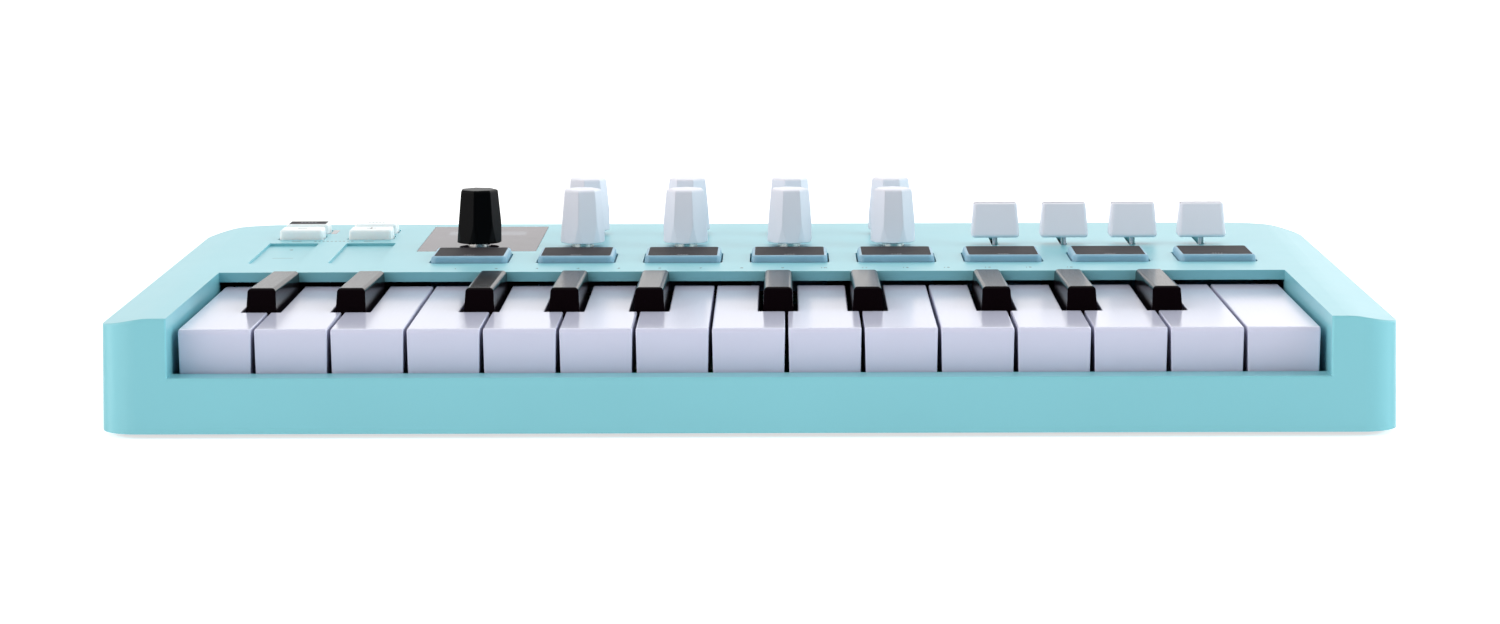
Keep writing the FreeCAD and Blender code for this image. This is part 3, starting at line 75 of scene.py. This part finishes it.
class Graph:
    """Short ways to add nodes to a node tree."""

    def __init__(self, tree, coordinate):
        self.tree = tree
        self.place = self.add("ShaderNodeTexCoord").outputs[coordinate]

    def add(self, kind, **settings):
        node = self.tree.nodes.new(kind)
        for key, value in settings.items():
            setattr(node, key, value)
        return node

    def link(self, source, target):
        self.tree.links.new(source, target)

    def noise(self, size_mm, detail=3.0, roughness=0.5, stretch=None):
        """Noise whose largest blobs are about size_mm across."""
        node = self.add("ShaderNodeTexNoise")
        node.inputs["Scale"].default_value = 1 / (size_mm * MM)
        node.inputs["Detail"].default_value = detail
        node.inputs["Roughness"].default_value = roughness
        source = self.place
        if stretch:
            mapping = self.add("ShaderNodeMapping")
            mapping.inputs["Scale"].default_value = stretch
            self.link(source, mapping.inputs["Vector"])
            source = mapping.outputs["Vector"]
        self.link(source, node.inputs["Vector"])
        return node.outputs["Fac"]

    def remap(self, value, low, high, from_low=0.3, from_high=0.7):
        node = self.add("ShaderNodeMapRange")
        self.link(value, node.inputs["Value"])
        node.inputs["From Min"].default_value = from_low
        node.inputs["From Max"].default_value = from_high
        node.inputs["To Min"].default_value = low
        node.inputs["To Max"].default_value = high
        return node.outputs["Result"]

    def blend(self, factor, first, second):
        """A colour mix; each colour is a triple or a socket."""
        node = self.add("ShaderNodeMix", data_type="RGBA")
        if isinstance(factor, bpy.types.NodeSocket):
            self.link(factor, node.inputs["Factor"])
        else:
            node.inputs["Factor"].default_value = factor
        for index, colour in ((6, first), (7, second)):
            if isinstance(colour, bpy.types.NodeSocket):
                self.link(colour, node.inputs[index])
            else:
                node.inputs[index].default_value = (*colour, 1.0)
        return node.outputs[2]

    def math(self, operation, first, second):
        node = self.add("ShaderNodeMath", operation=operation)
        for index, value in enumerate((first, second)):
            if isinstance(value, bpy.types.NodeSocket):
                self.link(value, node.inputs[index])
            else:
                node.inputs[index].default_value = value
        return node.outputs["Value"]

    def bump(self, height, depth_mm, strength=1.0, after=None):
        node = self.add("ShaderNodeBump")
        node.inputs["Strength"].default_value = strength
        node.inputs["Distance"].default_value = depth_mm * MM
        self.link(height, node.inputs["Height"])
        if after is not None:
            self.link(after, node.inputs["Normal"])
        return node.outputs["Normal"]

    def axis(self, name):
        """One coordinate of the place on the piece, in metres."""
        node = self.add("ShaderNodeSeparateXYZ")
        self.link(self.place, node.inputs["Vector"])
        return node.outputs[name]


class Finish(Graph):
    """A material and the nodes behind its look."""

    def __init__(self, name):
        self.material = bpy.data.materials.new(name)
        self.material.use_nodes = True
        super().__init__(self.material.node_tree, "Object")
        self.shader = self.tree.nodes["Principled BSDF"]

    def set(self, **values):
        """Sets inputs of the material's shader, each to a value or a socket."""
        for key, value in values.items():
            name = key.replace("_", " ").title().replace("Ior", "IOR")
            socket = self.shader.inputs[name]
            if isinstance(value, bpy.types.NodeSocket):
                self.link(value, socket)
            else:
                socket.default_value = value


def shade(colour, factor):
    return tuple(min(1.0, c * factor) for c in colour)


# ---- materials ---------------------------------------------------------------------------


def moulded_plastic(name, colour, roughness, grain_mm, grain_depth_mm, variation=0.04, gloss=0.5):
    """Moulded plastic: a fine eroded grain, a slow drift of colour and slightly uneven gloss."""
    g = Finish(name)
    drift = g.remap(g.noise(60, detail=2), 0, 1)
    g.set(base_color=g.blend(drift, shade(colour, 1 - variation), shade(colour, 1 + variation)))
    smudge = g.noise(9, detail=4, roughness=0.6)
    g.set(roughness=g.remap(smudge, roughness * 0.97, roughness * 1.03))
    grain = g.noise(grain_mm, detail=2, roughness=0.6)
    g.set(normal=g.bump(grain, grain_depth_mm))
    g.set(specular_ior_level=gloss)
    return g.material


def soften_edges(material, radius_mm):
    """Rounds the shading across a material's sharp edges by a small radius."""
    tree = material.node_tree
    bevel = tree.nodes.new("ShaderNodeBevel")
    bevel.samples = 6
    bevel.inputs["Radius"].default_value = radius_mm * MM
    shader = tree.nodes["Principled BSDF"]
    grain = shader.inputs["Normal"].links[0].from_node
    tree.links.new(bevel.outputs["Normal"], grain.inputs["Normal"])
    return material


def gloss_key_plastic(name, colour, roughness, gloss, subsurface):
    """Polished key plastic: faint long ripples from moulding and hairline polishing marks."""
    g = Finish(name)
    drift = g.noise(40, detail=2)
    g.set(base_color=g.blend(g.remap(drift, 0, 1), shade(colour, 0.985), shade(colour, 1.015)))
    hairlines = g.noise(0.5, detail=4, roughness=0.7, stretch=(1.0, 0.03, 1.0))
    g.set(roughness=g.remap(hairlines, roughness * 0.94, roughness * 1.06))
    ripple = g.bump(g.noise(14, detail=1), 0.006)
    g.set(normal=g.bump(g.noise(0.35, detail=2), 0.0003, after=ripple))
    g.set(specular_ior_level=gloss)
    if subsurface:
        g.set(subsurface_weight=subsurface, subsurface_scale=0.002)
        g.shader.inputs["Subsurface Radius"].default_value = (1.0, 0.9, 0.9)
    return g.material


def frosted_rubber(name, colour, clarity):
    """Translucent silicone: soft light passes through it, under a fine matte skin."""
    g = Finish(name)
    cloud = g.noise(5, detail=3)
    g.set(base_color=g.blend(g.remap(cloud, 0, 1), shade(colour, 0.95), shade(colour, 1.05)))
    g.set(roughness=g.remap(g.noise(1.2, detail=3), 0.38, 0.5))
    g.set(subsurface_weight=clarity, subsurface_scale=0.004)
    g.shader.inputs["Subsurface Radius"].default_value = (0.8, 0.95, 1.0)
    g.set(normal=g.bump(g.noise(0.25, detail=2), 0.004))
    return g.material


def metal(name, colour, roughness, ring=False):
    """Plated or drawn metal with fine turning marks."""
    g = Finish(name)
    stretch = (1.0, 1.0, 12.0) if ring else (1.0, 0.1, 1.0)
    marks = g.noise(0.3, detail=3, stretch=stretch)
    g.set(metallic=1.0, base_color=g.blend(g.remap(marks, 0, 1), shade(colour, 0.85), colour))
    g.set(roughness=g.remap(marks, roughness * 0.7, roughness * 1.4))
    g.set(normal=g.bump(marks, 0.003))
    return g.material


def window_material():
    """The display window: dark gloss with the display's paler active area showing through."""
    g = Finish("window_gloss")
    x0, x1, y0, y1 = display_area()
    inside = None
    for axis, low, high in (("X", x0, x1), ("Y", y0, y1)):
        place = g.axis(axis)
        for edge in (g.math("GREATER_THAN", place, low), g.math("LESS_THAN", place, high)):
            inside = edge if inside is None else g.math("MULTIPLY", inside, edge)
    dust = g.noise(0.8, detail=4, roughness=0.7)
    dark = g.blend(g.remap(dust, 0, 1), (0.05, 0.028, 0.04), (0.06, 0.036, 0.05))
    g.set(base_color=g.blend(inside, dark, (0.16, 0.16, 0.19)))
    g.set(roughness=g.remap(g.noise(6, detail=4), 0.05, 0.12))
    g.set(normal=g.bump(g.noise(20, detail=1), 0.01), specular_ior_level=0.04)
    return g.material


def display_area():
    """The sides of the display's active area: left, right, front and back."""
    low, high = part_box("display_window")
    width = high.x - low.x
    depth = high.y - low.y
    across = [low.x + share * width for share in DISPLAY_ACROSS]
    along = [low.y + share * depth for share in DISPLAY_ALONG]
    return (*across, *along)


def board_material(name, colour):
    """Solder mask with faint copper tracks under it."""
    g = Finish(name)
    tracks = g.add("ShaderNodeTexBrick")
    tracks.inputs["Scale"].default_value = 260
    tracks.inputs["Mortar Size"].default_value = 0.03
    tracks.inputs["Color1"].default_value = (*colour, 1)
    tracks.inputs["Color2"].default_value = (*shade(colour, 1.25), 1)
    tracks.inputs["Mortar"].default_value = (*shade(colour, 2.2), 1)
    g.link(g.place, tracks.inputs["Vector"])
    g.set(base_color=tracks.outputs["Color"], roughness=g.remap(g.noise(2), 0.3, 0.45))
    g.set(normal=g.bump(g.noise(0.6), 0.01))
    return g.material


CASE_COLOUR = (0.215, 0.55, 0.62)
INK_COLOUR = (0.06, 0.045, 0.05)

MINT = moulded_plastic("case_mint", CASE_COLOUR, 0.34, 0.35, 0.004, variation=0.015)
CHARCOAL = moulded_plastic("under_charcoal", (0.035, 0.036, 0.04), 0.55, 0.5, 0.02)
FRAME_BLACK = moulded_plastic("chassis_black", (0.008, 0.008, 0.009), 0.5, 0.6, 0.01)
WHITE_KEY = gloss_key_plastic("white_key_gloss", (0.63, 0.64, 0.79), 0.17, 0.42, 0.1)
BLACK_KEY = gloss_key_plastic("black_key_gloss", (0.004, 0.002, 0.003), 0.2, 0.06, 0.0)
WHITE_CAP = moulded_plastic("cap_white", (0.83, 0.83, 0.91), 0.42, 0.25, 0.003,
                            variation=0.01, gloss=0.25)
BLACK_CAP = moulded_plastic("cap_black", (0.0015, 0.0015, 0.002), 0.36, 0.25, 0.003, gloss=0.07)
soften_edges(WHITE_CAP, 0.5)
soften_edges(BLACK_CAP, 0.5)
PAD_SIDE = frosted_rubber("pad_silicone", (0.24, 0.43, 0.56), 0.3)
PAD_TOP = moulded_plastic("pad_top_dark", (0.012, 0.008, 0.012), 0.62, 0.3, 0.008,
                          variation=0.08, gloss=0.14)
FROST = frosted_rubber("button_frost", (0.88, 0.95, 0.99), 0.5)
NICKEL = metal("nickel", (0.75, 0.74, 0.72), 0.22, ring=True)
LEVER_STEEL = metal("lever_steel", (0.6, 0.6, 0.6), 0.3)
DARK_STEEL = metal("screw_steel", (0.16, 0.16, 0.17), 0.35)
BOARD_GREEN = board_material("board_green", (0.012, 0.10, 0.045))
PART_BLACK = moulded_plastic("component_black", (0.02, 0.02, 0.02), 0.45, 0.4, 0.01)
RUBBER = moulded_plastic("foot_rubber", (0.02, 0.02, 0.022), 0.8, 0.4, 0.03)
INK = moulded_plastic("print_ink", INK_COLOUR, 0.4, 0.3, 0.002)
PALE_INK = moulded_plastic("print_pale", (0.62, 0.64, 0.68), 0.5, 0.3, 0.002)
LINE_DARK = moulded_plastic("indicator_line", (0.02, 0.018, 0.02), 0.5, 0.3, 0.003)
WINDOW = window_material()
DARK_GLOSS = moulded_plastic("dark_gloss", (0.02, 0.012, 0.016), 0.12, 0.4, 0.001)


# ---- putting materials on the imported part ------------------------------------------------


def dress(node, material):
    """Gives a whole CAD node one material."""
    data = nodes[node].data
    data.materials.clear()
    data.materials.append(material)
    for polygon in data.polygons:
        polygon.material_index = 0


def dress_where(node, material, test):
    """Gives the faces that pass the test a material; test takes a face's centre and normal."""
    data = nodes[node].data
    data.materials.append(material)
    index = len(data.materials) - 1
    for polygon in data.polygons:
        if test(polygon.center, polygon.normal):
            polygon.material_index = index


def centre_of(node):
    low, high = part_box(node)
    return (low + high) / 2


def nodes_named(prefix):
    return sorted(n for n in nodes if n.startswith(prefix))


def dress_flat_top(node, material):
    """Gives the flat top of a piece its own material."""
    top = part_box(node)[1].z
    dress_where(node, material, lambda c, n: c.z > top - FLAT_TOP and n.z > FLAT_NORMAL)


def dress_knob(node, cap_material):
    """A cap, with the spindle inside it in metal."""
    dress(node, cap_material)
    middle = centre_of(node)
    spindle_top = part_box(node)[1].z - SPINDLE_TOP_DEPTH

    def on_spindle(centre, normal):
        radius = math.hypot(centre.x - middle.x, centre.y - middle.y)
        return radius < SPINDLE_RADIUS and centre.z < spindle_top

    dress_where(node, NICKEL, on_spindle)


def dress_fader(node):
    """A white cap, its steel lever and the dark line along its top."""
    dress(node, WHITE_CAP)
    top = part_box(node)[1].z
    line_y = centre_of(node).y

    def on_line(centre, normal):
        near_line = abs(centre.y - line_y) < FADER_LINE_HALF_WIDTH
        return normal.z > FLAT_NORMAL and near_line and centre.z > top - FADER_LINE_DEPTH

    dress_where(node, LINE_DARK, on_line)
    dress_where(node, LEVER_STEEL, lambda c, n: c.z < top - FADER_CAP_HEIGHT)


def dress_boards():
    """Boards in green, controls in black, bushes and the USB shell in metal."""
    node = "circuit_boards"
    dress(node, PART_BLACK)
    board_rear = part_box(node)[1].y - BOARD_EDGE

    def on_board(centre, normal):
        levels = [z0 - LAYER_MARGIN <= centre.z <= z1 + LAYER_MARGIN for z0, z1 in BOARD_LAYERS]
        return any(levels) and centre.y < board_rear

    def on_usb_shell(centre, normal):
        return centre.y > USB_FROM_Y and centre.x < USB_TO_X and USB_LAYER[0] < centre.z < USB_LAYER[1]

    dress_where(node, BOARD_GREEN, on_board)
    dress_where(node, NICKEL, lambda c, n: c.z > BUSH_FROM_Z)
    dress_where(node, NICKEL, on_usb_shell)


def dress_everything():
    dress("top_cover", MINT)
    dress("bottom_cover", CHARCOAL)
    dress("key_chassis", FRAME_BLACK)
    dress("key_springs", LEVER_STEEL)
    dress("key_contact_board", BOARD_GREEN)
    dress("display_window", WINDOW)
    dress("rubber_feet", RUBBER)
    dress("screws", DARK_STEEL)
    dress("main_encoder_rotor", PART_BLACK)
    dress_boards()
    for node in nodes_named("white_key"):
        dress(node, WHITE_KEY)
    for node in nodes_named("black_key"):
        dress(node, BLACK_KEY)
    for node in nodes_named("knob"):
        dress_knob(node, WHITE_CAP)
    dress_knob("main_encoder_knob", BLACK_CAP)
    for node in nodes_named("pad"):
        dress(node, PAD_SIDE)
        dress_flat_top(node, PAD_TOP)
    for node in nodes_named("fader"):
        dress_fader(node)
    for node in BUTTONS:
        dress(node, FROST)
    dress_flat_top("shift_button", PAD_TOP)


def smooth_round_faces():
    """Shades the rounded stretches of every CAD piece smoothly and keeps real edges sharp."""
    for node in nodes.values():
        node.data.shade_smooth()
        node.data.set_sharp_from_angle(angle=math.radians(SHARP_FROM))


dress_everything()
smooth_round_faces()


# ---- printed marks -----------------------------------------------------------------------

INK_THICKNESS = 0.02 * MM
HALF_INK = INK_THICKNESS / 2
PANEL_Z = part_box("display_window")[1].z
STRIP_DEPTH = 0.85 * MM
NUMBER_COUNT = 16
NUMBER_SIZE = 2.2 * MM
FIRST_NUMBER_X = centre_of("pad_1").x - 2.9 * MM
LAST_NUMBER_X = centre_of("pad_6").x + 18.9 * MM
NUMBER_ROW_Y = centre_of("pad_1").y - 24.3 * MM
STRIP_LINE_Y = -39.4 * MM
STRIP_DOT_Y = -18.7 * MM
STRIP_DASH_Y = -3.4 * MM
SHIFT_BAR_OFFSET = 7.6 * MM
SHIFT_BAR_LENGTH = 10.2 * MM


def new_piece(name, mesh, material, body):
    """Links a mesh piece, gives it its material and lets it ride on a body."""
    piece = bpy.data.objects.new(name, mesh)
    bpy.context.scene.collection.objects.link(piece)
    mesh.materials.append(material)
    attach(piece, body)


def text_mesh(text, size):
    """A thin solid of generic text, centred on its own origin."""
    curve = bpy.data.curves.new("text", "FONT")
    curve.body = text
    curve.size = size
    curve.align_x = "CENTER"
    curve.align_y = "CENTER"
    curve.extrude = INK_THICKNESS / 2
    curve.resolution_u = 4
    holder = bpy.data.objects.new("text", curve)
    bpy.context.scene.collection.objects.link(holder)
    bpy.context.view_layer.update()
    mesh = bpy.data.meshes.new_from_object(holder.evaluated_get(bpy.context.evaluated_depsgraph_get()))
    bpy.data.objects.remove(holder)
    bpy.data.curves.remove(curve)
    return mesh


def add_bar(bm, x, y, z, width, depth):
    """A thin printed bar with cut corners."""
    cut = min(width, depth) * 0.25
    half_w = width / 2
    half_d = depth / 2
    outline = [(-half_w + cut, -half_d), (half_w - cut, -half_d),
               (half_w, -half_d + cut), (half_w, half_d - cut),
               (half_w - cut, half_d), (-half_w + cut, half_d),
               (-half_w, half_d - cut), (-half_w, -half_d + cut)]
    low = [bm.verts.new((x + u, y + v, z - HALF_INK)) for u, v in outline]
    high = [bm.verts.new((x + u, y + v, z + HALF_INK)) for u, v in outline]
    bm.faces.new(list(reversed(low)))
    bm.faces.new(high)
    count = len(outline)
    for i in range(count):
        j = (i + 1) % count
        bm.faces.new((low[i], low[j], high[j], high[i]))


def finished_mesh(name, bm):
    mesh = bpy.data.meshes.new(name)
    bm.to_mesh(mesh)
    bm.free()
    return mesh


def number_row():
    """Channel numbers 1 to 16 along the back of the keybed."""
    bm = bmesh.new()
    for i in range(NUMBER_COUNT):
        x = FIRST_NUMBER_X + (LAST_NUMBER_X - FIRST_NUMBER_X) * i / (NUMBER_COUNT - 1)
        mesh = text_mesh(str(i + 1), NUMBER_SIZE)
        mesh.transform(Matrix.Translation((x, NUMBER_ROW_Y, PANEL_Z + HALF_INK)))
        bm.from_mesh(mesh)
        bpy.data.meshes.remove(mesh)
    new_piece("panel_numbers", finished_mesh("panel_numbers", bm), INK, "case")


def strip_marks():
    """The centre line and the dot in the left touch strip, and the dashes behind both strips."""
    floor_z = PANEL_Z - STRIP_DEPTH + HALF_INK
    left = centre_of("octave_down_button").x
    right = centre_of("octave_up_button").x
    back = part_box("octave_down_button")[0].y
    dash_y = back + STRIP_DASH_Y
    z = PANEL_Z + HALF_INK
    bm = bmesh.new()
    add_bar(bm, left - 0.5 * MM, back + STRIP_LINE_Y, floor_z, 6.5 * MM, 0.25 * MM)
    add_bar(bm, left - 0.5 * MM, back + STRIP_DOT_Y, floor_z, 1.1 * MM, 1.1 * MM)
    for i in range(10):
        add_bar(bm, (left + right) / 2 + (i - 4.5) * 1.3 * MM, dash_y, z, 0.8 * MM, 0.9 * MM)
    for x in (left - 0.8 * MM, right + 0.1 * MM):
        add_bar(bm, x, dash_y, z, 3.2 * MM, 0.6 * MM)
    new_piece("strip_marks", finished_mesh("strip_marks", bm), INK, "case")


def shift_side_dark_bars():
    """Two narrow dark gloss bars laid flat on the panel, one at each side of the shift button."""
    middle = centre_of("shift_button")
    y = middle.y - 0.2 * MM
    bm = bmesh.new()
    for side, width in ((-1, 1.4 * MM), (1, 2.0 * MM)):
        x = middle.x + side * (SHIFT_BAR_OFFSET + width / 2)
        add_bar(bm, x, y, PANEL_Z + HALF_INK, width, SHIFT_BAR_LENGTH)
    new_piece("shift_side_dark_bars", finished_mesh("shift_side_dark_bars", bm), DARK_GLOSS, "case")


def button_marks():
    """A minus, a plus and plain dots on the four buttons."""
    for node in BUTTONS:
        middle = centre_of(node)
        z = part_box(node)[1].z + HALF_INK
        bm = bmesh.new()
        if node == "octave_down_button":
            add_bar(bm, middle.x, middle.y, z, 3.0 * MM, 0.6 * MM)
        elif node == "octave_up_button":
            add_bar(bm, middle.x, middle.y, z, 3.0 * MM, 0.6 * MM)
            for offset in (-0.95 * MM, 0.95 * MM):
                add_bar(bm, middle.x, middle.y + offset, z, 0.6 * MM, 1.1 * MM)
        else:
            for i in range(5):
                add_bar(bm, middle.x + (i - 2) * 1.1 * MM, middle.y, z, 0.6 * MM, 0.6 * MM)
        material = PALE_INK if node == "shift_button" else INK
        new_piece(node + "_mark", finished_mesh(node + "_mark", bm), material, node)


def pad_marks():
    """A tiny pale mark near the front edge of each pad's dark top."""
    for node in nodes_named("pad"):
        low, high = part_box(node)
        x = (low.x + high.x) / 2
        y = low.y + 4.2 * MM
        bm = bmesh.new()
        for i in range(4):
            add_bar(bm, x + (i - 1.5) * 0.85 * MM, y, high.z + HALF_INK, 0.5 * MM, 0.35 * MM)
        new_piece(node + "_mark", finished_mesh(node + "_mark", bm), PALE_INK, node)


number_row()
strip_marks()
shift_side_dark_bars()
button_marks()
pad_marks()


# ---- floor, light and camera -------------------------------------------------------------


FLOOR_HALF_WIDTH = 6.0
FLOOR_GLOW = 0.68
FLOOR_COLOUR = (0.72, 0.72, 0.72)

# The soft lights around the object: colour, azimuth and elevation of the middle in degrees, the angle within
# which the light is full, the angle at which it has faded out, and strength.
LIGHTS = (
    ((1.0, 1.0, 1.0), (180, 8), 26, 56, 1.3),  # wall behind
    ((1.0, 0.94, 0.92), (-50, 24), 18, 36, 2.1),  # box at the front left
    ((0.84, 0.97, 1.0), (72, 22), 18, 36, 1.75),  # box at the front right
    ((0.88, 0.98, 1.0), (100, 16), 16, 34, 1.9),  # low box at the right
    ((1.0, 0.96, 0.94), (-98, 12), 14, 30, 2.2),  # low box at the left
    ((1.0, 0.92, 0.92), (145, 12), 8, 34, 0.8),  # faint box at the back right
    ((1.0, 1.0, 1.0), (180, 75), 30, 60, 0.82),  # ceiling
)

CAMERA_PLACE = Vector((9.57, -1108.74, 175.84)) * MM
CAMERA_TURN = math.radians(0.5195)
CAMERA_PITCH = math.radians(-8.0297)
CAMERA_ROLL = math.radians(-0.2215)
CAMERA_LENS = 89.0
SENSOR_WIDTH = 36.0


def floor_material():
    """A pale matte floor that also glows a little, so that it stays near white away from the object."""
    g = Finish("pale_floor")
    drift = g.noise(400, detail=2)
    g.set(base_color=g.blend(g.remap(drift, 0, 1), shade(FLOOR_COLOUR, 0.99), FLOOR_COLOUR), roughness=0.9)
    g.set(specular_ior_level=0.0, emission_color=(1.0, 1.0, 1.0, 1.0), emission_strength=FLOOR_GLOW)
    return g.material


def pale_floor():
    """A wide level floor, left out of reflections so that dark gloss stays dark from the front."""
    half = FLOOR_HALF_WIDTH
    corners = ((-half, -half), (half, -half), (half, half), (-half, half))
    bm = bmesh.new()
    bm.faces.new([bm.verts.new((x, y, 0.0)) for x, y in corners])
    floor = bpy.data.objects.new("floor", finished_mesh("floor", bm))
    bpy.context.scene.collection.objects.link(floor)
    floor.data.materials.append(floor_material())
    floor.visible_glossy = False


def direction(azimuth, elevation):
    """Unit vector; azimuth 0 is the player's side, 90 is to the player's right."""
    a = math.radians(azimuth)
    e = math.radians(elevation)
    return (math.sin(a) * math.cos(e), -math.cos(a) * math.cos(e), math.sin(e))


def lobe(g, azimuth, elevation, inner, outer):
    """1 within the inner angle of a direction, falling smoothly to 0 at the outer angle."""
    dot = g.add("ShaderNodeVectorMath", operation="DOT_PRODUCT")
    g.link(g.place, dot.inputs[0])
    dot.inputs[1].default_value = direction(azimuth, elevation)
    ramp = g.add("ShaderNodeMapRange", interpolation_type="SMOOTHSTEP")
    g.link(dot.outputs["Value"], ramp.inputs["Value"])
    ramp.inputs["From Min"].default_value = math.cos(math.radians(outer))
    ramp.inputs["From Max"].default_value = math.cos(math.radians(inner))
    return ramp.outputs["Result"]


def surround(g, colour, share, strength):
    """A glow of one colour over the part of the surround where share is above 0."""
    glow = g.add("ShaderNodeBackground")
    glow.inputs["Color"].default_value = (*colour, 1.0)
    g.link(g.math("MULTIPLY", share, strength), glow.inputs["Strength"])
    return glow.outputs["Background"]


def studio():
    """Soft lights in the surround, which the camera itself sees as plain white."""
    world = bpy.data.worlds.new("studio")
    world.use_nodes = True
    g = Graph(world.node_tree, "Generated")
    parts = []
    for colour, middle, inner, outer, strength in LIGHTS:
        parts.append(surround(g, colour, lobe(g, *middle, inner, outer), strength))
    total = parts[0]
    for part in parts[1:]:
        added = g.add("ShaderNodeAddShader")
        g.link(total, added.inputs[0])
        g.link(part, added.inputs[1])
        total = added.outputs["Shader"]
    seen = g.add("ShaderNodeBackground")
    seen.inputs["Color"].default_value = (1.0, 1.0, 1.0, 1.0)
    path = g.add("ShaderNodeLightPath")
    pick = g.add("ShaderNodeMixShader")
    g.link(path.outputs["Is Camera Ray"], pick.inputs["Fac"])
    g.link(total, pick.inputs[1])
    g.link(seen.outputs["Background"], pick.inputs[2])
    g.link(pick.outputs["Shader"], g.tree.nodes["World Output"].inputs["Surface"])
    bpy.context.scene.world = world


def camera():
    """A long lens just above the front edge of a table, nearly level."""
    ahead = math.cos(CAMERA_PITCH)
    forward = Vector((-math.sin(CAMERA_TURN) * ahead, math.cos(CAMERA_TURN) * ahead, math.sin(CAMERA_PITCH)))
    level = Vector((math.cos(CAMERA_TURN), math.sin(CAMERA_TURN), 0))
    up = level.cross(forward)
    right = level * math.cos(CAMERA_ROLL) + up * math.sin(CAMERA_ROLL)
    top = up * math.cos(CAMERA_ROLL) - level * math.sin(CAMERA_ROLL)
    lens = bpy.data.cameras.new("camera")
    lens.lens = CAMERA_LENS
    lens.sensor_width = SENSOR_WIDTH
    lens.clip_start = 0.01
    lens.clip_end = 50
    view = bpy.data.objects.new("camera", lens)
    view.matrix_world = Matrix((
        (right.x, top.x, -forward.x, CAMERA_PLACE.x),
        (right.y, top.y, -forward.y, CAMERA_PLACE.y),
        (right.z, top.z, -forward.z, CAMERA_PLACE.z),
        (0, 0, 0, 1)))
    bpy.context.scene.collection.objects.link(view)
    bpy.context.scene.camera = view


pale_floor()
studio()
camera()
bpy.context.scene.view_settings.view_transform = "Standard"
